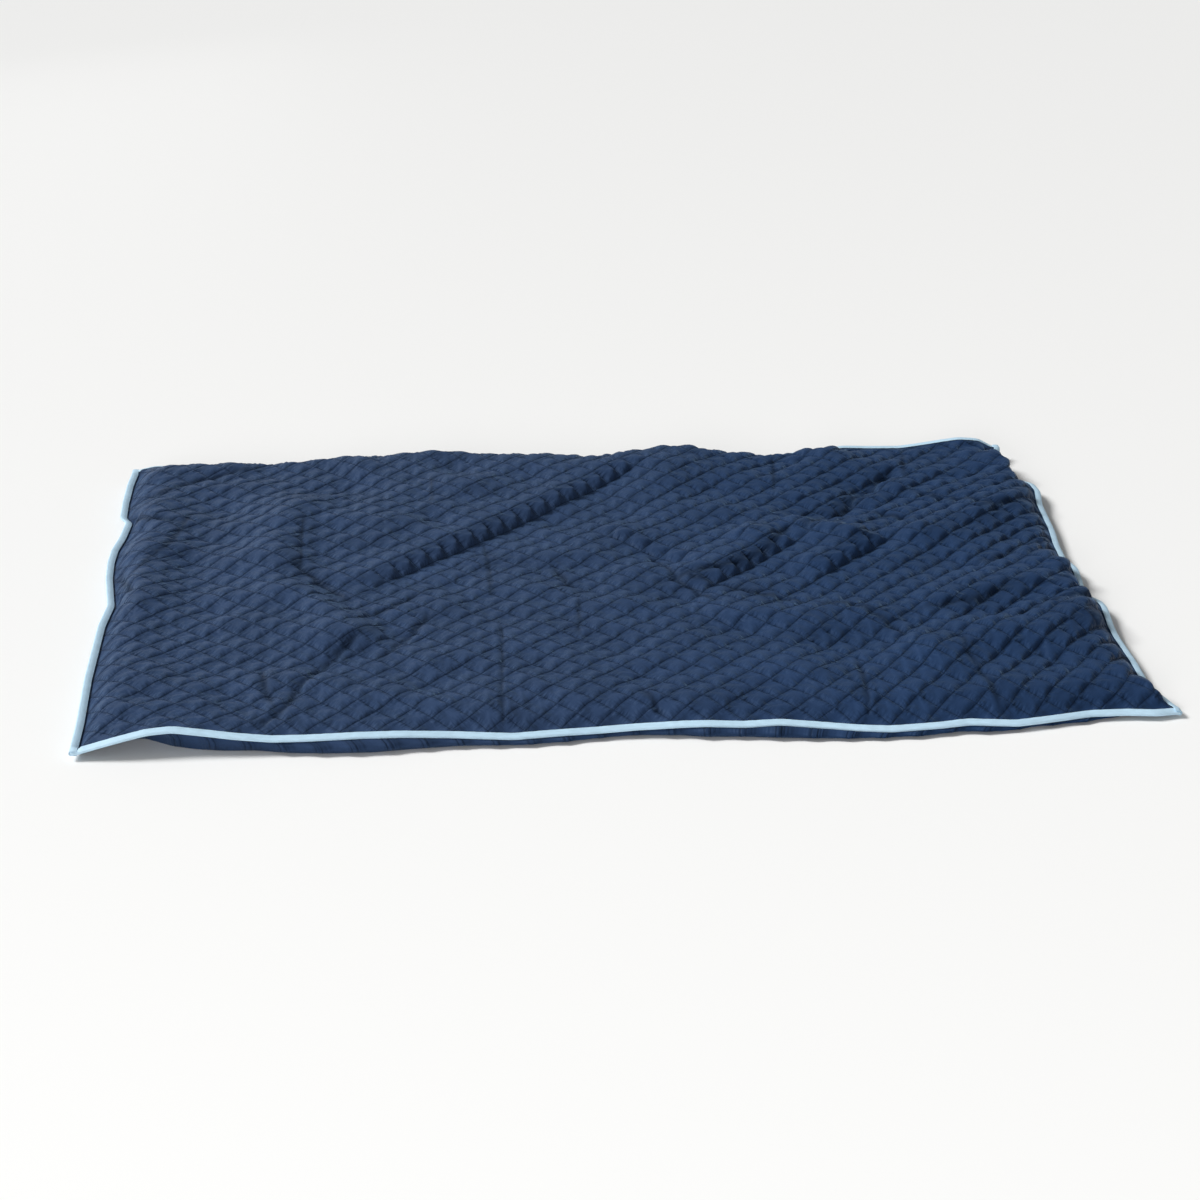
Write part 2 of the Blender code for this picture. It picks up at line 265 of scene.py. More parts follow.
LEFT_EDGE = (
    # y, line x, height, foot x
    (-0.60, -0.900, 0.012, -0.845),
    (-0.52, -0.897, 0.020, -0.858),
    (-0.36, -0.900, 0.023, -0.884),
    (-0.15, -0.897, 0.026, -0.886),
    (-0.05, -0.890, 0.021, -0.876),
    (0.00, -0.896, 0.023, -0.882),
    (0.07, -0.904, 0.024, -0.888),
    (0.15, -0.908, 0.022, -0.892),
    (0.21, -0.906, 0.022, -0.890),
    (0.27, -0.897, 0.022, -0.884),
    (0.345, -0.890, 0.024, -0.880),
    (0.360, -0.903, 0.027, -0.884),
    (0.45, -0.906, 0.024, -0.888),
    (0.55, -0.905, 0.024, -0.886),
    (0.60, -0.899, 0.030, -0.876),
)
RIGHT_EDGE = (
    # y, line x, height, foot x
    (-0.61, 0.900, 0.008, 0.850),
    (-0.56, 0.882, 0.012, 0.858),
    (-0.51, 0.874, 0.014, 0.862),
    (-0.44, 0.876, 0.016, 0.866),
    (-0.34, 0.874, 0.018, 0.864),
    (-0.30, 0.876, 0.020, 0.866),
    (-0.22, 0.886, 0.022, 0.874),
    (-0.19, 0.884, 0.020, 0.870),
    (-0.14, 0.870, 0.012, 0.862),
    (-0.09, 0.876, 0.018, 0.866),
    (-0.04, 0.881, 0.022, 0.870),
    (0.01, 0.872, 0.020, 0.864),
    (0.08, 0.878, 0.018, 0.868),
    (0.16, 0.889, 0.018, 0.878),
    (0.28, 0.896, 0.022, 0.884),
    (0.35, 0.909, 0.024, 0.892),
    (0.39, 0.907, 0.024, 0.890),
    (0.42, 0.896, 0.018, 0.884),
    (0.48, 0.880, 0.010, 0.868),
    (0.54, 0.874, 0.010, 0.862),
    (0.60, 0.886, 0.026, 0.866),
)

Fold = namedtuple("Fold", "name rise left right fade points")
Step = namedtuple("Step", "name lean crest base start end fade rise dip behind before")
Bulge = namedtuple("Bulge", "name row spread reach lift")
Crease = namedtuple("Crease", "name depth lips half_width fade points")

# Soft folds, as in the CAD: a ridge or a trough along its points, with a flank width to each side.
FOLDS = tuple(Fold(*row) for row in (
    # name, rise, left, right, fade, points
    ("left_side_ridge", 0.014, 0.045, 0.055, 0.06,
     ((-0.825, -0.08), (-0.82, 0.05), (-0.812, 0.23), (-0.80, 0.42))),
    ("left_side_trough", -0.003, 0.035, 0.035, 0.05, ((-0.745, -0.05), (-0.75, 0.12), (-0.71, 0.28))),
    ("hooked_ridge", 0.019, 0.080, 0.050, 0.05,
     ((-0.45, -0.25), (-0.50, -0.17), (-0.575, -0.04), (-0.598, 0.08), (-0.592, 0.20), (-0.555, 0.31))),
    ("back_plateau", 0.020, 0.220, 0.120, 0.15, ((-0.45, 0.18), (-0.15, 0.50))),
    ("back_left_ridge", 0.016, 0.070, 0.070, 0.10, ((-0.85, 0.55), (-0.33, 0.57))),
    ("arched_ridge", 0.018, 0.040, 0.040, 0.04, ((0.29, 0.12), (0.346, 0.16), (0.40, 0.128), (0.47, 0.085))),
    ("right_trough", -0.014, 0.025, 0.030, 0.05, ((0.40, 0.20), (0.476, 0.224), (0.529, 0.294), (0.6, 0.4))),
    ("right_side_trough", -0.010, 0.025, 0.030, 0.05,
     ((0.527, 0.24), (0.647, 0.316), (0.708, 0.388), (0.782, 0.439))),
    ("back_hump_wide", 0.024, 0.120, 0.120, 0.10, ((0.16, 0.45), (0.20, 0.60))),
    ("back_hump_mid", 0.014, 0.070, 0.060, 0.05, ((0.50, 0.50), (0.53, 0.60))),
    ("back_dip_right", -0.012, 0.060, 0.060, 0.05, ((0.58, 0.56), (0.86, 0.55))),
    ("right_swell_back", 0.016, 0.060, 0.050, 0.06, ((0.62, 0.10), (0.87, 0.30))),
    ("right_swell_mid", 0.018, 0.070, 0.040, 0.06, ((0.60, -0.24), (0.83, -0.08))),
    ("right_swell_front", 0.020, 0.080, 0.050, 0.06, ((0.52, -0.42), (0.70, -0.36), (0.83, -0.28))),
    ("low_middle_ridge", 0.012, 0.050, 0.050, 0.06, ((0.20, -0.20), (0.33, -0.27), (0.42, -0.28))),
))

# Steps: the quilt drops over one row of diamonds, between two sewn lines. With lean 1 a line is column - row,
# and with lean -1 it is column + row; start and end are places along it, in the other of the two.
STEPS = tuple(Step(*row) for row in (
    # name, lean, crest, base, start, end, fade, rise, dip, behind, before
    ("long_step", 1, -4.0, -2.0, 38.5, 68.0, 3.0, 0.0140, 0.0060, 2.6, 3.2),
    ("middle_ridge", -1, 58.0, 56.0, 6.0, 14.0, 1.6, 0.007, 0.003, 2.2, 1.8),
    ("first_short_step", 1, 18.0, 20.0, 55.0, 64.5, 2.0, 0.014, 0.003, 2.8, 1.6),
    ("second_short_step", 1, 24.0, 26.0, 63.5, 70.0, 1.8, 0.014, 0.003, 2.8, 1.6),
))

# Where the right side bulges out over its tape.
BULGES = tuple(Bulge(*row) for row in (
    # name, row, spread in rows, reach, lift
    ("back_corner", 36.8, 2.4, 0.018, 0.006),
    ("middle", 15.0, 1.3, 0.014, 0.006),
    ("front_corner", 1.2, 0.9, 0.010, 0.004),
))

# Creases: narrow valleys where the blanket was folded or is pinched, through places in columns and rows. The
# lips beside a groove have their place and width in its half widths.
LIP_PLACE = 2.4
LIP_WIDTH = 1.1
CREASES = tuple(Crease(*row) for row in (
    # name, depth, lips, half width, fade, points
    ("front_left_pinch", 0.0042, 0.3, 0.22, 1.2,
     ((14.5, 9.7), (13.0, 7.2), (11.7, 4.5), (11.0, 2.5), (9.5, 0.2))),
    ("front_left_pinch_upper", 0.0032, 0.3, 0.20, 1.0, ((19.0, 13.0), (18.2, 11.2), (17.0, 9.2))),
    ("front_left_nick", 0.0032, 0.3, 0.20, 0.8, ((9.7, 6.2), (9.8, 4.8), (10.1, 3.6))),
    ("hook_foot", 0.0030, 0.0, 0.30, 1.0, ((11.7, 20.4), (13.2, 18.2), (14.0, 17.2))),
    ("hook_side", 0.0012, 0.0, 0.13, 1.2, ((11.7, 26.8), (11.6, 24.0), (11.7, 21.2))),
    ("middle_nick", 0.0030, 0.3, 0.20, 0.8, ((18.2, 16.2), (17.3, 15.0), (16.3, 14.3))),
    ("packing_front_long", 0.0022, 0.0, 0.13, 0.8, ((23.5, 11.3), (23.3, 7.3), (23.0, 3.7), (22.8, 0.5))),
    ("packing_front_short", 0.0016, 0.0, 0.13, 0.6, ((28.3, 14.5), (28.0, 11.2))),
    ("packing_middle", 0.0014, 0.0, 0.13, 0.8, ((23.2, 23.7), (23.3, 20.5), (23.2, 17.2))),
    ("packing_back_left", -0.0010, 0.0, 0.13, 0.6, ((20.0, 33.8), (19.9, 30.8))),
    ("packing_back", 0.0020, 0.0, 0.13, 0.8, ((44.0, 39.0), (43.5, 36.0), (43.0, 32.5))),
    ("packing_back_right", 0.0016, 0.0, 0.13, 0.6, ((53.0, 38.3), (52.3, 35.0))),
    ("back_band", 0.0050, 0.3, 0.32, 1.2,
     ((50.8, 34.3), (50.0, 33.0), (48.0, 30.7), (46.5, 28.3), (44.4, 25.2))),
    ("back_band_teeth", 0.0035, 0.3, 0.28, 1.0, ((42.3, 24.0), (40.7, 21.5), (38.3, 19.3), (34.7, 17.8))),
    ("ledge", 0.0018, 0.0, 0.30, 1.2, ((35.7, 17.7), (38.3, 15.7), (40.8, 14.3), (44.8, 12.3))),
    ("ledge_end", 0.0026, 0.3, 0.24, 0.9, ((44.8, 12.3), (45.8, 11.0), (46.7, 9.2))),
    ("blocky_nick", 0.0030, 0.3, 0.22, 0.8, ((33.7, 21.3), (34.7, 17.5), (36.2, 15.0))),
    ("step_foot_nick", 0.0035, 0.3, 0.22, 0.7, ((28.0, 18.0), (27.5, 19.7))),
    ("middle_front_nick", 0.0026, 0.3, 0.20, 0.6, ((31.0, 2.2), (31.3, 1.0), (31.6, 0.3))),
    ("packing_right_front", 0.0034, 0.2, 0.16, 0.8, ((43.4, 5.2), (43.2, 3.2), (43.0, 2.0), (42.8, 0.4))),
    ("right_front_pinch", 0.0024, 0.2, 0.18, 1.0, ((50.0, 6.9), (50.1, 4.2), (50.3, 1.8), (50.2, 0.6))),
    ("right_edge_pinch", 0.0040, 0.3, 0.28, 1.0, ((59.2, 13.5), (57.0, 11.8), (55.0, 10.7))),
    ("right_valley", 0.0040, 0.3, 0.30, 1.0, ((53.8, 13.8), (52.3, 12.7), (49.8, 12.2))),
    ("right_middle_valley", 0.0040, 0.3, 0.28, 1.0, ((59.0, 22.0), (57.6, 20.9), (54.5, 19.0))),
    ("right_back_valley", 0.0040, 0.3, 0.28, 1.0,
     ((57.8, 27.8), (56.3, 27.0), (54.7, 28.3), (53.0, 30.2))),
    ("right_back_nick", 0.0035, 0.3, 0.24, 0.8, ((50.7, 26.2), (49.2, 27.5))),
    ("left_pucker", 0.0040, 0.3, 0.24, 0.8, ((0.3, 22.8), (0.6, 21.2), (1.3, 18.8))),
    ("left_notch", 0.0045, 0.2, 0.24, 0.9, ((0.3, 31.2), (1.4, 30.2), (2.6, 29.6))),
    ("left_wave_back", 0.0018, 0.3, 0.24, 1.0, ((0.6, 34.2), (2.0, 34.4), (4.3, 36.3), (7.0, 37.6))),
    ("left_wave", 0.0014, 0.3, 0.20, 1.0, ((2.0, 22.0), (3.3, 24.8), (4.2, 29.5))),
))

Side = namedtuple("Side", "axis value out over flat_length stations")
SIDES = {
    # axis of a perimeter step that is the same all along, its value, the way out, rise of the tape's ends,
    # flat length, stations along it
    "front": Side(1, -1, (0, -1, 0), 0.0, FLAT_LENGTH, 601),
    "back": Side(1, DEEP + 1, (0, 1, 0), 0.0, FLAT_LENGTH, 601),
    "left": Side(0, -1, (-1, 0, 0), LAP_RISE, FLAT_WIDTH, 401),
    "right": Side(0, ACROSS + 1, (1, 0, 0), LAP_RISE, FLAT_WIDTH, 401),
}


def rounded(values, times=3):
    """A row of values with its corners rounded and its ends kept."""
    for _ in range(times):
        values = np.concatenate([values[:1], (values[:-2] + 2 * values[1:-1] + values[2:]) / 4, values[-1:]])
    return values


class Edge:
    """One edge of the blanket at every mesh cell along it: its line, height, foot, root and shoulder.

    The flange rises a little from its outer line to its root, where the panel begins; rises and shoulders are
    short tables of a place along the edge and a length.
    """

    def __init__(self, rows, cells, inward, rises, shoulders):
        table = np.array(rows)
        stations = np.linspace(table[0, 0], table[-1, 0], cells + 1)
        read = [rounded(np.interp(stations, table[:, 0], table[:, column])) for column in (1, 2, 3)]
        self.line, self.height, self.foot = read
        self.root = self.line + inward * FLANGE_WIDTH
        self.root_height = self.height + np.interp(stations, *zip(*rises))
        self.shoulder = np.interp(stations, *zip(*shoulders))


FRONT = Edge(FRONT_EDGE, ACROSS, 1, ((0.0, 0.0042),), ((0.0, 0.090),))
BACK = Edge(BACK_EDGE, ACROSS, -1, ((0.40, 0.0040), (0.55, -0.0015)), ((0.0, 0.050),))
LEFT = Edge(LEFT_EDGE, DEEP, 1, ((0.0, -0.0060),), ((0.0, 0.065),))
RIGHT = Edge(RIGHT_EDGE, DEEP, -1, ((0.0, 0.0025),), ((0.30, 0.060), (0.46, 0.032)))
MIDDLE_Y = (min(row[3] for row in FRONT_EDGE) + max(row[1] for row in BACK_EDGE)) / 2


def smooth(value):
    """0 below 0 and 1 above 1, with an even turn between them."""
    value = np.clip(value, 0.0, 1.0)
    return value * value * (3 - 2 * value)


def beyond(along, start, end):
    """How far a place is past either end of a run."""
    return np.maximum(np.maximum(start - along, along - end), 0.0)


def beside(x, y, start, end):
    """How far places are across a straight run, negative to its left, and how far past its ends."""
    (ax, ay), (bx, by) = start, end
    length = math.hypot(bx - ax, by - ay)
    along = ((x - ax) * (bx - ax) + (y - ay) * (by - ay)) / length
    across = ((x - ax) * (by - ay) - (y - ay) * (bx - ax)) / length
    return across, beyond(along, 0.0, length)


def sewn_line(column, row, lean):
    """Which line of that lean a place is on, and where along it."""
    return column - lean * row, column + lean * row


def between_lines(place):
    """0 on a sewn line and 1 halfway between two; the lines are 2 apart."""
    return 1 - 2 * np.abs((place / 2) % 1.0 - 0.5)


def in_from_edge(column, row):
    """How many columns or rows a place is in from the nearest edge."""
    return np.minimum(np.minimum(column, COLUMNS - column), np.minimum(row, ROWS - row))


def rightness(column):
    """0 over the left third of the blanket, and 1 at its right edge."""
    return smooth(column / COLUMNS * 1.5 - 0.5)


def fold_rise(x, y, fold):
    """Height that a soft fold adds."""
    most = np.zeros_like(x)
    for start, end in zip(fold.points, fold.points[1:]):
        across, past_end = beside(x, y, start, end)
        flank = np.where(across > 0, fold.right, fold.left)
        most = np.maximum(most, np.exp(-((across / flank) ** 2) - (past_end / fold.fade) ** 2))
    return fold.rise * most


def down_step(column, row, step):
    """A place's sewn line, where it is along it, how far down the step's slope, and the step's share."""
    line, along = sewn_line(column, row, step.lean)
    down = np.clip((line - step.crest) / (step.base - step.crest), 0.0, 1.0)
    return line, along, down, np.exp(-((beyond(along, step.start, step.end) / step.fade) ** 2))


def step_rise(column, row, step):
    """Height that a step adds: a crest behind it, and a dip before it."""
    line, _, down, share = down_step(column, row, step)
    way = 1.0 if step.base > step.crest else -1.0
    back = np.maximum((step.crest - line) * way, 0.0)
    front = np.maximum((line - step.base) * way, 0.0)
    top = step.rise * np.exp(-((back / step.behind) ** 2)) * (1 - down)
    foot = -step.dip * np.exp(-((front / step.before) ** 2)) * down
    return (top + foot) * share


def crease_rise(column, row, crease):
    """Height that a crease adds, with its lips a share of its depth, and how far a place is in its groove."""
    nearest = np.full_like(column, math.inf)
    for start, end in zip(crease.points, crease.points[1:]):
        across, past_end = beside(column, row, start, end)
        nearest = np.minimum(nearest, np.hypot(across / crease.half_width, past_end / crease.fade))
    groove = np.exp(-(nearest**2))
    swell = np.exp(-(((nearest - LIP_PLACE) / LIP_WIDTH) ** 2))
    return crease.depth * (crease.lips * swell - groove), groove


def ripple(x, y, wavelength, seed, waves=24):
    """An even random swell of about that wavelength, with a root mean square of 1."""
    draw = np.random.default_rng(seed)
    swell = np.zeros_like(x)
    for _ in range(waves):
        turn = draw.uniform(0, 2 * math.pi)
        phase = draw.uniform(0, 2 * math.pi)
        pace = 2 * math.pi / (wavelength * draw.uniform(*RIPPLE_SPREAD))
        swell += np.cos(pace * (x * math.cos(turn) + y * math.sin(turn)) + phase)
    return swell * math.sqrt(2 / waves)


def lattice():
    """Column and row at every vertex of the top panel's grid."""
    i, j = np.meshgrid(np.arange(ACROSS + 1), np.arange(DEEP + 1), indexing="ij")
    return i / CELLS, j / CELLS


def plain_plan(column, row):
    """Where a place of the grid lies in plan before the panel is laid on its folds."""
    x = LEFT.root[None, :] + (RIGHT.root - LEFT.root)[None, :] * column / COLUMNS
    y = FRONT.root[:, None] + (BACK.root - FRONT.root)[:, None] * row / ROWS
    return x, y - MIDDLE_Y


def rim_height(column, row, which):
    """The height of the rim, or of its root, blended from the four sides."""
    heights = np.zeros_like(column)
    shares = np.zeros_like(column)
    sides = (
        (column, getattr(LEFT, which)[None, :]),
        (COLUMNS - column, getattr(RIGHT, which)[None, :]),
        (row, getattr(FRONT, which)[:, None]),
        (ROWS - row, getattr(BACK, which)[:, None]),
    )
    for steps, height in sides:
        share = np.maximum(steps, 1e-3) ** -2.0
        heights += share * height
        shares += share
    return heights / shares


def seam_heights(column, row, x, y):
    """Height of the quilt's top along its seams."""
    over_shoulder = (
        column * LAID_LENGTH / COLUMNS / LEFT.shoulder[None, :],
        (COLUMNS - column) * LAID_LENGTH / COLUMNS / RIGHT.shoulder[None, :],
        row * LAID_WIDTH / ROWS / FRONT.shoulder[:, None],
        (ROWS - row) * LAID_WIDTH / ROWS / BACK.shoulder[:, None],
    )
    rise = np.sin(math.pi / 2 * np.minimum(np.minimum.reduce(over_shoulder), 1.0))
    relief = np.full_like(x, BASE_HEIGHT)
    for fold in FOLDS:
        relief += fold_rise(x, y + MIDDLE_Y, fold)
    for step in STEPS:
        relief += step_rise(column, row, step)
    relief += sum(height * ripple(x, y, wavelength, seed) for height, wavelength, seed in RIPPLES)
    rim = rim_height(column, row, "root_height") + FLANGE_HALF
    return rim + (relief - rim) * rise


def finer(values, steps):
    """The values along the first axis, with so many steps between each two, on a curve through them."""
    before = 2 * values[:1] - values[1:2]
    after = 2 * values[-1:] - values[-2:-1]
    padded = np.concatenate([before, values, after])
    count = (len(values) - 1) * steps
    at = np.arange(count + 1) / steps
    cell = np.minimum(at.astype(int), len(values) - 2)
    t = (at - cell).reshape([-1] + [1] * (values.ndim - 1))
    a, b, c, d = (padded[cell + k] for k in range(4))
    return b + 0.5 * t * (c - a + t * (2 * a - 5 * b + 4 * c - d + t * (3 * (b - c) + d - a)))


def free_inside(shape):
    """1 at each vertex of a grid that may move, and 0 along its four edges."""
    free = np.ones(shape)
    free[[0, -1], :] = 0
    free[:, [0, -1]] = 0
    return free


def pull(places, first, second, rest, stiffness, free):
    """Moves each pair of places towards the distance rest apart."""
    gap = places[second] - places[first]
    length = np.sqrt((gap * gap).sum(-1))
    near, far = free[first], free[second]
    push = stiffness * (length - rest) / (length * np.maximum(near + far, 1e-6))
    places[first] += gap * (push * near)[..., None]
    places[second] -= gap * (push * far)[..., None]


def matched(steps, offset=0, stride=1):
    """Slices of the vertices along an axis that have one so many steps further, and of those."""
    if steps < 0:
        return slice(-steps, None), slice(None, steps)
    return slice(offset, -steps or None, stride), slice(offset + steps, None, stride)


def pairs(steps_i, steps_j):
    """Slices of a grid that pair each vertex with one so many steps further, in groups that don't touch."""
    stride = 2 * max(abs(steps_i), abs(steps_j))
    if steps_i:
        return [tuple(zip(matched(steps_i, offset, stride), matched(steps_j))) for offset in range(stride)]
    return [tuple(zip(matched(0), matched(steps_j, offset, stride))) for offset in range(stride)]


def laid_plan(x, y, z):
    """Plan of the grid once its lattice is laid on the folds with its flat spacing, edges held."""
    start = np.stack([x, y, z], -1)[::CELLS, ::CELLS]
    places = start.copy()
    free = free_inside(places.shape[:2])
    links = []
    for i, j in ((1, 0), (0, 1), (1, 1), (1, -1)):
        rest = math.hypot(i * PANEL_LENGTH / COLUMNS, j * PANEL_WIDTH / ROWS)
        links += [(first, second, rest) for first, second in pairs(i, j)]
    for _ in range(LAYING_ROUNDS):
        for first, second, rest in links:
            pull(places, first, second, rest, LAYING_PULL, free)
        places[..., 2] = start[..., 2]
        places[1:-1, 1:-1, :2] += LAYING_RETURN * (start - places)[1:-1, 1:-1, :2]
    moved = finer(finer(places - start, CELLS).swapaxes(0, 1), CELLS).swapaxes(0, 1)
    return x + moved[..., 0], y + moved[..., 1]


def normals_of(places):
    """Unit normals of a grid of places, upwards."""
    along_i = np.gradient(places, axis=0)
    along_j = np.gradient(places, axis=1)
    normal = np.cross(along_i, along_j)
    return normal / np.maximum(np.linalg.norm(normal, axis=-1, keepdims=True), 1e-12)


def pillow(column, row):
    """Puff of the quilting: 0 on the seams, 1 at the crown of each diamond, and flattened into the flange.

    The filling has slid to the right and the front, so each crown is beyond the middle of its diamond.
    """
    rising = 1 - np.abs(2 * (((column + row) / 2) % 1.0) ** SLIDE_RIGHT - 1)
    falling = 1 - np.abs(2 * (((column - row) / 2) % 1.0) ** SLIDE_FRONT - 1)
    dome = (1 - (1 - rising) ** DOME_POWER) * (1 - (1 - falling) ** DOME_POWER)
    hip = np.minimum(rising, falling)
    return ((1 - HIP_SHARE) * dome + HIP_SHARE * hip) * smooth(in_from_edge(column, row) / EDGE_FADE)


def puff(column, row):
    """Height of the puff of each diamond: a little different in each, and fuller to the right."""
    rising = np.floor((column + row) / 2).astype(int)
    falling = np.floor((column - row) / 2).astype(int)
    draw = np.random.default_rng(PUFF_SEED).uniform(*PUFF_RANGE, (PUFF_DRAWS, PUFF_DRAWS))
    height = PUFF_LEFT + (PUFF_RIGHT - PUFF_LEFT) * rightness(column)
    return height * draw[rising, falling + PUFF_DRAWS // 2]


def on_steps(column, row):
    """Whether a place is on the sloping row of diamonds of a step."""
    found = np.zeros(column.shape, bool)
    for step in STEPS:
        line, along = sewn_line(column, row, step.lean)
        slopes = (line > min(step.crest, step.base)) & (line < max(step.crest, step.base))
        found |= slopes & (along > step.start) & (along < step.end)
    return found


def pleats(column, row):
    """How far a step's diamonds stand out from its slope: they hold up between seams, then drop."""
    stand = np.zeros_like(column)
    for step in STEPS:
        _, along, down, share = down_step(column, row, step)
        held = PLEAT_HOLD * between_lines(along)
        drop = np.clip((down - held) / (1 - held), 0.0, 1.0)
        stand += (step.rise + step.dip) * (down - drop) * share
    return stand


def cloth_links(column):
    """The pairs of vertices that cloth links: two slices of the grid, a distance and a stiffness."""
    ease = EASE_LEFT + (EASE_RIGHT - EASE_LEFT) * rightness(column)
    links = []
    for cells_i, cells_j, stiffness in CLOTH_LINKS:
        length = math.hypot(cells_i * CELL_LENGTH, cells_j * CELL_DEPTH)
        for first, second in pairs(cells_i, cells_j):
            links.append((first, second, length * (ease[first] + ease[second]) / 2, stiffness))
    return links


def work_cloth(seated, column, row):
    """The panel worked as cloth: a little larger than its place, held at its seams and pressed up."""
    normal = normals_of(seated)
    full = puff(column, row) * pillow(column, row) + pleats(column, row)
    places = seated + normal * full[..., None]
    free = free_inside(column.shape)
    i = np.rint(column * CELLS).astype(int)
    j = np.rint(row * CELLS).astype(int)
    on_seam = ((i + j) % (2 * CELLS) == 0) | ((i - j) % (2 * CELLS) == 0)
    seam = on_seam & (free > 0)
    lowest = np.where(on_steps(column, row), LEAST_PUFF_ON_STEPS, LEAST_PUFF) * full - LEAST_SLACK
    highest = MOST_PUFF * full + MOST_SLACK
    links = cloth_links(column)
    stir = np.random.default_rng(STIR_SEED).normal(size=column.shape) * STIR
    places[1:-1, 1:-1] += (normal * stir[..., None])[1:-1, 1:-1]
    earlier = places.copy()
    for _ in range(CLOTH_STEPS):
        speed = (places - earlier) * KEPT_SPEED
        earlier = places.copy()
        places += speed * free[..., None]
        places += normals_of(places) * (PRESSURE * free)[..., None]
        for _ in range(CLOTH_PASSES):
            for first, second, rest, stiffness in links:
                pull(places, first, second, rest, stiffness, free)
            places[seam] += SEAM_PULL * (seated[seam] - places[seam])
            depth = ((places - seated) * normal).sum(-1)
            past = np.minimum(depth - lowest, 0.0) + np.maximum(depth - highest, 0.0)
            places -= normal * (past * free * LIMIT_PULL)[..., None]
    return places


def top_panel():
    """The grid of the top panel, and how far each of its places is in a crease, which is painted as shade."""
    column, row = lattice()
    x, y = plain_plan(column, row)
    z = seam_heights(column, row, x, y)
    x, y = laid_plan(x, y, z)
    to_right = COLUMNS - column
    for bulge in BULGES:
        swell = to_right * np.exp(1 - to_right - ((row - bulge.row) / bulge.spread) ** 2)
        swell *= smooth(np.minimum(row, ROWS - row))
        x += bulge.reach * swell
        z += bulge.lift * swell
    inside = smooth(in_from_edge(column, row))
    # Painted shade for the creases: how far each place is in one.
    painted_crease_shade = np.zeros_like(z)
    for crease in CREASES:
        rise, groove = crease_rise(column, row, crease)
        z += rise * inside
        painted_crease_shade = np.maximum(painted_crease_shade, groove * inside)
    return work_cloth(np.stack([x, y, z], -1), column, row), painted_crease_shade


Ring = namedtuple("Ring", "column row root foot height root_height out")


def perimeter():
    """Grid steps (i, j) round the flange's outer line, one beyond the panel's, from the front left."""
    front = [(i, -1) for i in range(-1, ACROSS + 2)]
    right = [(ACROSS + 1, j) for j in range(0, DEEP + 2)]
    back = [(i, DEEP + 1) for i in range(ACROSS, -2, -1)]
    left = [(-1, j) for j in range(DEEP, -1, -1)]
    return np.array(front + right + back + left)


def ring_at(steps):
    """For each perimeter step: its places on the root and foot lines, its heights and the way out."""
    i = np.clip(steps[:, 0], 0, ACROSS)
    j = np.clip(steps[:, 1], 0, DEEP)
    column, row = i / CELLS, j / CELLS

    def plan(left, right, front, back):
        x = left[j] + (right[j] - left[j]) * column / COLUMNS
        y = front[i] + (back[i] - front[i]) * row / ROWS
        return np.stack([x, y - MIDDLE_Y], -1)

    root = plan(LEFT.root, RIGHT.root, FRONT.root, BACK.root)
    foot = plan(LEFT.foot, RIGHT.foot, FRONT.foot, BACK.foot)
    height, root_height = (rim_height(*lattice(), which)[i, j] for which in ("height", "root_height"))
    out = np.stack([steps[:, 0] - i, steps[:, 1] - j], -1).astype(float)
    return Ring(column, row, root, foot, height, root_height, out)


def lower_rings(steps):
    """Rings of places from the flange's outer line, underneath it and down the lower panel to the floor."""
    at = ring_at(steps)
    way = at.out / np.maximum(np.linalg.norm(at.out, axis=1, keepdims=True), 1)

    def ring(plan, z):
        return np.concatenate([plan, z[:, None]], 1)

    reach = FLANGE_WIDTH - FLANGE_INSET
    rings = [
        ring(at.root + at.out * reach, at.height - FLANGE_HALF),
        ring(at.root, at.root_height - FLANGE_HALF),
    ]
    top = at.root_height - TUCK_DROP
    run = at.column + at.row
    for share in np.linspace(0.0, 1.0, BELLY_RINGS + 1)[1:]:
        turn = share * math.pi
        plan = at.root + (at.foot - at.root) * math.sin(min(turn, math.pi / 2))
        inward = BELLY_UNDER * max(0.0, -math.cos(turn))
        down = share * BELLY_DEPTH
        diamond = np.minimum(between_lines(run + down), between_lines(run - down))
        swell = BELLY_PUFF * diamond * math.sin(turn)
        z = np.maximum(top * (0.5 + 0.5 * math.cos(turn)), 0.0)
        rings.append(ring(plan + way * (swell - inward)[:, None], z))
    return rings


def finished(bm, name, uv, flat, weld=0.0):
    """A smooth mesh of that bmesh, unwrapped to each vertex's flat place and turned outwards."""
    for face in bm.faces:
        face.smooth = True
        for corner in face.loops:
            corner[uv].uv = flat[corner.vert]
    if weld:
        bmesh.ops.remove_doubles(bm, verts=bm.verts, dist=weld)
    bmesh.ops.recalc_face_normals(bm, faces=bm.faces)
    mesh = bpy.data.meshes.new(name)
    bm.to_mesh(mesh)
    bm.free()
    return mesh


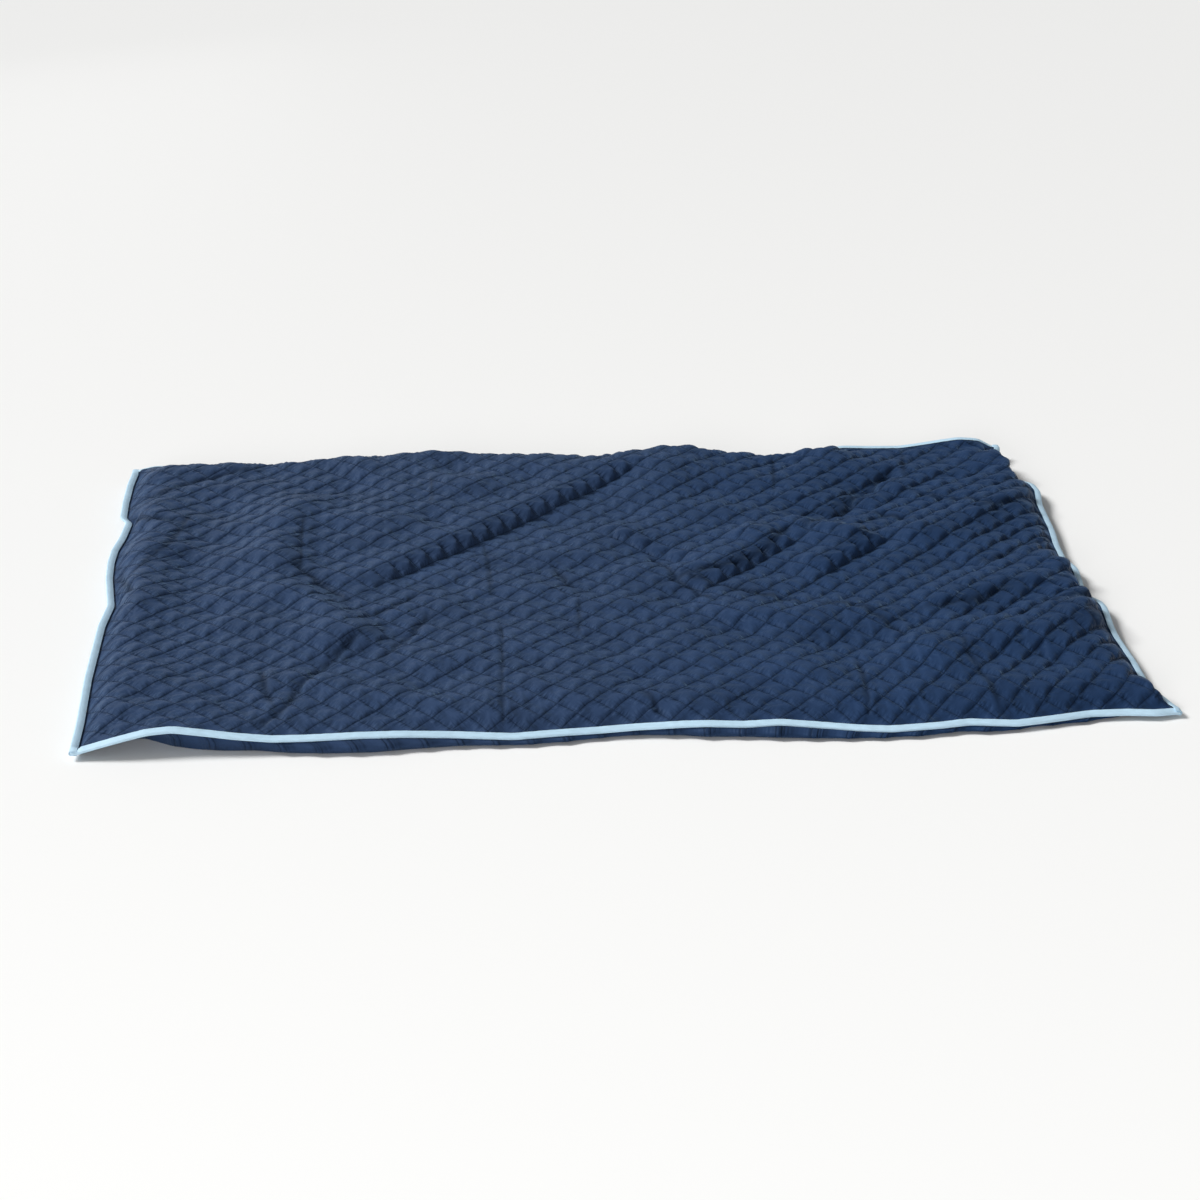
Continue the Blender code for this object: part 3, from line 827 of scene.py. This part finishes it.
def quilt_mesh(top, painted_crease_shade):
    """The whole quilt as one closed mesh: top panel, flange and lower panel."""
    bm = bmesh.new()
    # The crease layer holds painted shade: how far each place is in a crease, which the material darkens.
    crease = bm.verts.layers.float.new("crease")
    uv = bm.loops.layers.uv.new("flat_cloth")
    steps = perimeter()
    rings = lower_rings(steps)
    grid = {}
    for i in range(ACROSS + 1):
        for j in range(DEEP + 1):
            grid[i, j] = bm.verts.new(top[i, j])
            grid[i, j][crease] = painted_crease_shade[i, j]
    outer = rings[0].copy()
    outer[:, 2] += 2 * FLANGE_HALF
    for (i, j), place in zip(steps, outer):
        grid[i, j] = bm.verts.new(place)
    flat = {vertex: (i * CELL_LENGTH, j * CELL_DEPTH) for (i, j), vertex in grid.items()}
    for i in range(-1, ACROSS + 1):
        for j in range(-1, DEEP + 1):
            a, b, c, d = grid[i, j], grid[i + 1, j], grid[i + 1, j + 1], grid[i, j + 1]
            # Diagonals run the way of the sewn line that crosses their column and row.
            falls = (i // CELLS + j // CELLS) % 2 == 1
            for half in ((a, b, d), (b, c, d)) if falls else ((a, b, c), (a, c, d)):
                bm.faces.new(half)
    loop = [grid[i, j] for i, j in steps]
    count = len(loop)
    for places in rings:
        fresh = [bm.verts.new(place) for place in places]
        for (i, j), vertex in zip(steps, fresh):
            flat[vertex] = (i * CELL_LENGTH, j * CELL_DEPTH)
        for k in range(count):
            n = (k + 1) % count
            bm.faces.new((loop[n], loop[k], fresh[k], fresh[n]))
        loop = fresh
    bm.faces.new(loop[::-1])
    return finished(bm, "quilted_body", uv, flat, WELD)


class Look:
    """A material being made: sockets worked out by its methods, and linked to its Principled shader."""

    def __init__(self, name):
        self.material = bpy.data.materials.new(name)
        self.material.use_nodes = True
        self.tree = self.material.node_tree
        self.shader = self.tree.nodes["Principled BSDF"]

    def new(self, kind):
        """A new shader node of that kind."""
        return self.tree.nodes.new(f"ShaderNode{kind}")

    def link(self, value, socket):
        """Sets a socket to a number, or links another socket to it."""
        if isinstance(value, (int, float)):
            socket.default_value = value
        else:
            self.tree.links.new(value, socket)

    def even(self, name, value):
        """Sets one of the shader's own sockets, the same all over the surface."""
        self.shader.inputs[name].default_value = value

    def axes(self, name):
        """The two coordinates of a UV map, in metres of flat cloth."""
        source = self.new("UVMap")
        source.uv_map = name
        parts = self.new("SeparateXYZ")
        self.link(source.outputs[0], parts.inputs[0])
        return parts.outputs[0], parts.outputs[1]

    def maths(self, operation, *values):
        """A Math node of that operation, with numbers or sockets for its values."""
        made = self.new("Math")
        made.operation = operation
        for socket, value in zip(made.inputs, values):
            self.link(value, socket)
        return made.outputs[0]

    def times(self, first, *others):
        """The product of numbers or sockets."""
        for other in others:
            first = self.maths("MULTIPLY", first, other)
        return first

    def total(self, first, *others):
        """The sum of numbers or sockets."""
        for other in others:
            first = self.maths("ADD", first, other)
        return first

    def around_one(self, value, share):
        """1, changed by that share of the value."""
        return self.maths("MULTIPLY_ADD", value, share, 1.0)

    def wave(self, along, pitch):
        """A sine along a socket, with that pitch."""
        return self.maths("SINE", self.times(along, 2 * math.pi / pitch))

    def turn_to(self, value, low, high, at_low, at_high):
        """The value moved smoothly from at_low, at low and under, to at_high, at high and over."""
        made = self.new("MapRange")
        made.interpolation_type = "SMOOTHSTEP"
        numbers = {"From Min": low, "From Max": high, "To Min": at_low, "To Max": at_high, "Value": value}
        for name, number in numbers.items():
            self.link(number, made.inputs[name])
        return made.outputs["Result"]

    def noise(self, x, y, detail, seed):
        """Noise, 0 to 1, over a plane of those two sockets, in units of its own size."""
        place = self.new("CombineXYZ")
        for value, socket in zip((x, y, seed), place.inputs):
            self.link(value, socket)
        made = self.new("TexNoise")
        made.inputs["Scale"].default_value = 1.0
        made.inputs["Detail"].default_value = detail
        self.link(place.outputs[0], made.inputs["Vector"])
        return made.outputs["Fac"]

    def colour(self, red, green, blue):
        """Links the base colour to three sockets."""
        joined = self.new("CombineColor")
        for value, socket in zip((red, green, blue), joined.inputs):
            self.link(value, socket)
        self.link(joined.outputs[0], self.shader.inputs["Base Color"])

    def relief(self, height):
        """Links a height in metres to the shader as relief."""
        bump = self.new("Bump")
        bump.inputs["Strength"].default_value = 1.0
        bump.inputs["Distance"].default_value = 1.0
        self.link(height, bump.inputs["Height"])
        self.link(bump.outputs[0], self.shader.inputs["Normal"])


def quilt_material():
    """Navy microfibre: a fine plain weave, darker sewn lines with puckers, a slight mottle, and painted shade
    in seam valleys, creases and towards the right.
    """
    look = Look("navy_quilted_fabric")
    u, v = look.axes("flat_cloth")
    column = look.times(u, COLUMNS / PANEL_LENGTH)
    row = look.times(v, ROWS / PANEL_WIDTH)
    rising = look.total(column, row)
    falling = look.maths("SUBTRACT", column, row)
    apart = PANEL_LENGTH / COLUMNS * math.sqrt(2)
    to_rising, to_falling = (
        look.times(look.maths("PINGPONG", look.times(place, 0.5), 0.5), apart) for place in (rising, falling)
    )
    to_seam = look.maths("MINIMUM", to_rising, to_falling)
    weave = look.times(look.wave(u, WEAVE_PITCH), look.wave(v, WEAVE_PITCH))
    mottle = look.noise(look.times(u, MOTTLE_SCALE), look.times(v, MOTTLE_SCALE), 4.0, 0.0)
    painted_crease_shade_attribute = look.new("Attribute")
    painted_crease_shade_attribute.attribute_name = "crease"
    shade = look.times(
        look.turn_to(to_seam, *THREAD_LINE),
        # Painted shade in the valleys beside the sewn lines.
        look.turn_to(to_seam, *VALLEY_PAINTED_SHADE),
        look.turn_to(mottle, *MOTTLE),
        look.around_one(weave, WEAVE_SHADE),
        # Painted shade darkening the fabric towards the right.
        look.turn_to(u, *PAINTED_SHADE_TO_RIGHT),
        # Painted shade: darker where the top is in a crease.
        look.around_one(painted_crease_shade_attribute.outputs["Fac"], CREASE_PAINTED_SHADE),
    )
    # Painted shade: the base colour turns to a deep blue towards the right, where less light and sheen fall.
    painted_deepening = look.turn_to(u, *PAINTED_DEEPENING_TO_RIGHT)
    colours = zip(FABRIC_COLOUR, PAINTED_SHADE_FABRIC_COLOUR)
    look.colour(*(look.times(shade, look.turn_to(painted_deepening, 0.0, 1.0, near, deep)) for near, deep in colours))
    heights = []
    seams = ((rising, falling, to_rising, 3.0), (falling, rising, to_falling, 7.0))
    for across, along, distance, seam_seed in seams:
        for long, short, start, reach, height, seed in PUCKERS:
            pucker = look.noise(look.times(along, long), look.times(across, short), 2.0, seam_seed + seed)
            heights.append(look.times(pucker, look.turn_to(distance, start, reach, height, 0.0)))
    heights.append(look.turn_to(to_seam, 0.0, SEAM_DIP_WIDTH, SEAM_DIP, 0.0))
    heights.append(look.times(weave, WEAVE_RELIEF))
    look.relief(look.total(*heights))
    look.even("Specular IOR Level", 0.06)
    look.even("Specular Tint", (0.45, 0.70, 1.0, 1))
    look.even("Roughness", 0.48)
    look.even("Sheen Weight", 0.165)
    look.even("Sheen Tint", (0.38, 0.63, 1.0, 1))
    look.even("Sheen Roughness", 0.4)
    return look.material


def tape_material():
    """Pale blue ribbed tape, a little uneven in its colour."""
    look = Look("pale_blue_tape")
    u, v = look.axes("flat_tape")
    ribs = look.wave(u, RIB_PITCH)
    threads = look.wave(v, WEAVE_PITCH)
    worn = look.noise(look.times(u, WORN_SCALES[0]), look.times(v, WORN_SCALES[1]), 3.0, 1.0)
    shade = look.times(look.turn_to(worn, *WORN), look.around_one(ribs, RIB_SHADE))
    look.colour(*(look.times(shade, part) for part in TAPE_COLOUR))
    look.relief(look.total(look.times(ribs, RIB_RELIEF), look.times(threads, TAPE_THREAD_RELIEF)))
    look.even("Roughness", 0.6)
    look.even("Specular IOR Level", 0.3)
    return look.material


def thread_material(name, colour):
    """Sewing thread, with a fleck of lighter and darker fibre."""
    look = Look(name)
    fleck = look.new("TexNoise")
    fleck.inputs["Scale"].default_value = FLECK_SCALE
    look.link(look.new("TexCoord").outputs["Object"], fleck.inputs["Vector"])
    shade = look.turn_to(fleck.outputs["Fac"], *FLECK)
    look.colour(*(look.times(shade, part) for part in colour))
    look.even("Roughness", 0.8)
    look.even("Specular IOR Level", 0.02)
    return look.material


def placed(name, data):
    """A new object of the scene, with that data."""
    made = bpy.data.objects.new(name, data)
    bpy.context.scene.collection.objects.link(made)
    return made


def add_piece(name, mesh, material):
    """A visible piece of the blanket, which rides its only body."""
    piece = placed(name, mesh)
    mesh.materials.append(material)
    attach(piece, "root")
    return piece


def unit(rows):
    """Rows of three numbers, each scaled to a length of 1."""
    return rows / np.linalg.norm(rows, axis=1, keepdims=True)


def read_along(at, stations, rows):
    """Rows of three numbers, known at the stations, read at other places along them."""
    return np.stack([np.interp(at, stations, rows[:, k]) for k in range(3)], -1)


def side_line(side):
    """The flange's outer line along one side, from end to end, and the angle it falls outwards."""
    steps = perimeter()
    at = ring_at(steps)
    pick = steps[:, side.axis] == side.value
    line = np.concatenate([at.root + at.out * (FLANGE_WIDTH - TAPE_WALL), at.height[:, None]], 1)[pick]
    fall = np.arctan2(at.root_height - at.height, FLANGE_WIDTH)[pick]
    order = np.argsort(line[:, 1 - side.axis])
    return line[order], fall[order]


def tape_stations(side):
    """Even stations along one side: places, distances from the first, and unit axes outwards and upwards."""
    line, fall = side_line(side)
    along = np.concatenate([[0.0], np.cumsum(np.linalg.norm(np.diff(line, axis=0), axis=1))])
    stations = np.linspace(0, along[-1], side.stations)
    falls = np.interp(stations, along, fall)[:, None]
    away = np.array(side.out, float)
    up = np.array((0.0, 0.0, 1.0))
    out_axis = away * np.cos(falls) - up * np.sin(falls)
    up_axis = away * np.sin(falls) + up * np.cos(falls)
    return read_along(stations, along, line), stations, out_axis, up_axis


def lap(side, at, length):
    """How far a tape rises over the one that it crosses near each of its ends."""
    near_end = np.minimum(at, length - at)
    return side.over * (1 - smooth((near_end - FLANGE_WIDTH) / LAP_FADE))


def tape_section(over):
    """The tape's C section, from its upper inner edge round the fold to its lower one: (out, up)."""
    across, up = TAPE_LEG - TAPE_WALL, FLANGE_HALF + SEW_GAP
    section = [(-across, up + TAPE_LIP), (-across + TAPE_LIP_WIDTH, up)]
    section += [(-across * share, up + rise) for share, rise in TAPE_CROWN]
    for k in range(FOLD_FACETS + 1):
        turn = math.pi / 2 - math.pi * k / FOLD_FACETS
        section.append(((up + over) * (math.cos(turn) - FOLD_CENTRE), up * math.sin(turn)))
    section += [(-across * share, -up) for share in TAPE_UNDERSIDE]
    return section


def tape_piece(name, side, material):
    """One tape folded round its edge: a C section swept along the side, with a wall of its own."""
    line, stations, out_axis, up_axis = tape_stations(side)
    section = tape_section(side.over)
    measure = np.concatenate([[0.0], np.cumsum(np.hypot(*np.diff(np.array(section), axis=0).T))])
    turns = np.random.default_rng(TAPE_SEED).uniform(0, 2 * math.pi, len(TAPE_WAVES))
    waves = sum(np.cos(2 * math.pi * stations / length + turn) for length, turn in zip(TAPE_WAVES, turns))
    rise_at = lap(side, stations, stations[-1])
    inner = TAPE_LEG - TAPE_WALL
    bm = bmesh.new()
    uv = bm.loops.layers.uv.new("flat_tape")
    flat = {}
    rows = []
    for k, place in enumerate(line):
        row = []
        for (out, lift), cross in zip(section, measure):
            pucker = TAPE_PUCKER * waves[k] * min(1.0, max(0.0, -out / inner))
            rise = lift + math.copysign(rise_at[k] + pucker, lift) if lift else lift
            vertex = bm.verts.new(place + out_axis[k] * out + up_axis[k] * rise)
            flat[vertex] = (stations[k], cross)
            row.append(vertex)
        rows.append(row)
    for a, b in zip(rows, rows[1:]):
        for k in range(len(section) - 1):
            bm.faces.new((a[k], b[k], b[k + 1], a[k + 1]))
    piece = add_piece(name, finished(bm, name, uv, flat), material)
    wall = piece.modifiers.new("wall", "SOLIDIFY")
    wall.thickness = TAPE_WALL
    wall.offset = 1.0
    return piece


def stitches(name, centres, along, up, half_length, radius, material):
    """A piece of many stitches, each a short spindle: centres and unit axes are arrays of rows."""
    side = unit(np.cross(up, along))
    up = np.cross(along, side)
    ends = (along * half_length, -along * half_length)
    ring = (side * radius, up * radius, -side * radius, -up * radius)
    corners = np.stack([centres + shift for shift in ends + ring], 1)
    facets = [(0, 2 + k, 2 + (k + 1) % 4) for k in range(4)] + [(1, 2 + (k + 1) % 4, 2 + k) for k in range(4)]
    faces = np.arange(len(centres))[:, None, None] * corners.shape[1] + np.array(facets)[None]
    mesh = bpy.data.meshes.new(name)
    mesh.from_pydata(corners.reshape(-1, 3).tolist(), [], faces.reshape(-1, 3).tolist())
    mesh.polygons.foreach_set("use_smooth", [True] * len(mesh.polygons))
    return add_piece(name, mesh, material)


def quilting_stitches(name, places, lean, material):
    """Stitches along every sewn line of one lean: two to a mesh cell."""
    normal = normals_of(places)
    i, j = np.meshgrid(np.arange(ACROSS), np.arange(DEEP), indexing="ij")
    if lean == 1:
        start, end = (i, j), (i + 1, j + 1)
        sewn = (i - j) % (2 * CELLS) == 0
    else:
        start, end = (i, j + 1), (i + 1, j)
        sewn = (i + j + 1) % (2 * CELLS) == 0
    sewn &= (i > 0) & (j > 0) & (i < ACROSS - 1) & (j < DEEP - 1)
    first, second = places[start][sewn], places[end][sewn]
    way = second - first
    along = np.tile(unit(way), (2, 1))
    up = np.tile(unit(normal[start][sewn] + normal[end][sewn]), (2, 1))
    centres = np.concatenate([first + way * 0.25, first + way * 0.75]) + up * STITCH_LIFT
    return stitches(name, centres, along, up, STITCH_HALF, STITCH_RADIUS, material)


def tape_stitches(material):
    """One line of stitches along the inner margin of each tape."""
    surface = FLANGE_HALF + SEW_GAP + TAPE_WALL + TAPE_STITCH_LIFT
    rows = []
    for side in SIDES.values():
        line, stations, out_axis, up_axis = tape_stations(side)
        count = int(stations[-1] / TAPE_STITCH_PITCH)
        at = (np.arange(1, count - 1) + 0.5) * TAPE_STITCH_PITCH
        centres = read_along(at, stations, line)
        ahead = read_along(at + STITCH_LOOK_AHEAD, stations, line)
        along = unit(ahead - centres)
        outward = read_along(at, stations, out_axis)
        upward = read_along(at, stations, up_axis)
        rise = surface + lap(side, at, stations[-1])
        centres = centres - outward * (TAPE_LEG - TAPE_STITCH_MARGIN) + upward * rise[:, None]
        rows.append((centres, along, upward))
    centres, along, up = (np.concatenate([row[k] for row in rows]) for k in range(3))
    return stitches("tape_stitches", centres, along, up, TAPE_STITCH_HALF, TAPE_STITCH_RADIUS, material)


def add_light(name, kind, place, **settings):
    """A light that faces the middle of the blanket."""
    light = bpy.data.lights.new(name, kind)
    for setting, value in settings.items():
        setattr(light, setting, value)
    lamp = placed(name, light)
    lamp.location = place
    x, y, z = place
    down = math.atan2(-z, math.hypot(x, y))
    lamp.rotation_euler = (math.pi / 2 + down, 0, math.atan2(-y, -x) - math.pi / 2)
    return lamp


def add_camera():
    """The camera, with a place and a lens that fit the photograph."""
    camera = bpy.data.cameras.new("camera")
    camera.lens = CAMERA_LENS
    camera.sensor_width = 36.0
    camera.clip_end = 100.0
    holder = placed("camera", camera)
    holder.location = CAMERA_PLACE
    holder.rotation_euler = (math.radians(CAMERA_PITCH), 0.0, math.radians(CAMERA_TURN))
    bpy.context.scene.camera = holder


def light_studio():
    """Soft white light from all round, a key from the left, a fill from the front and a glow behind."""
    world = bpy.data.worlds.new("studio")
    world.use_nodes = True
    background = world.node_tree.nodes["Background"]
    background.inputs["Color"].default_value = (1, 1, 1, 1)
    background.inputs["Strength"].default_value = WORLD_STRENGTH
    bpy.context.scene.world = world
    bpy.context.scene.view_settings.view_transform = "Standard"
    add_light("key", "SUN", (-2.6, 0.9, 2.6), energy=3.3, angle=math.radians(22))
    panel = {"shape": "RECTANGLE", "size_y": 2.0}
    add_light("front_fill", "AREA", (-3.2, -8.4, 2.4), energy=300, size=4.0, **panel)
    glow = add_light("back_left_glow", "AREA", (-2.2, 4.5, 1.3), energy=14, size=3.4, **panel)
    glow.visible_diffuse = False
    glow.visible_camera = False


def add_floor():
    """A pale plain floor, just under the blanket."""
    mesh = bpy.data.meshes.new("floor")
    corners = [(x * FLOOR_HALF, y * FLOOR_HALF, -FLOOR_DROP) for x, y in ((-1, -1), (1, -1), (1, 1), (-1, 1))]
    mesh.from_pydata(corners, [], [(0, 1, 2, 3)])
    look = Look("pale_floor")
    look.even("Base Color", FLOOR_COLOUR)
    look.even("Roughness", 0.7)
    mesh.materials.append(look.material)
    floor = placed("floor", mesh)


def add_quilt():
    """The padded quilt, with its stitches."""
    top, painted_crease_shade = top_panel()
    quilt = add_piece("quilted_body", quilt_mesh(top, painted_crease_shade), quilt_material())
    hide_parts("quilt")
    thread = thread_material("navy_thread", THREAD_COLOUR)
    for name, lean in (("quilting_rising", 1), ("quilting_falling", -1)):
        quilting_stitches(name, top, lean, thread)


def add_tapes():
    """The four tapes folded round the edges, with their stitches."""
    tape = tape_material()
    for name, side in SIDES.items():
        piece = tape_piece(f"tape_{name}", side, tape)
        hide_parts(f"binding_{name}")
    sewn = tape_stitches(thread_material("pale_thread", TAPE_THREAD_COLOUR))


add_camera()
light_studio()
add_floor()
add_quilt()
add_tapes()
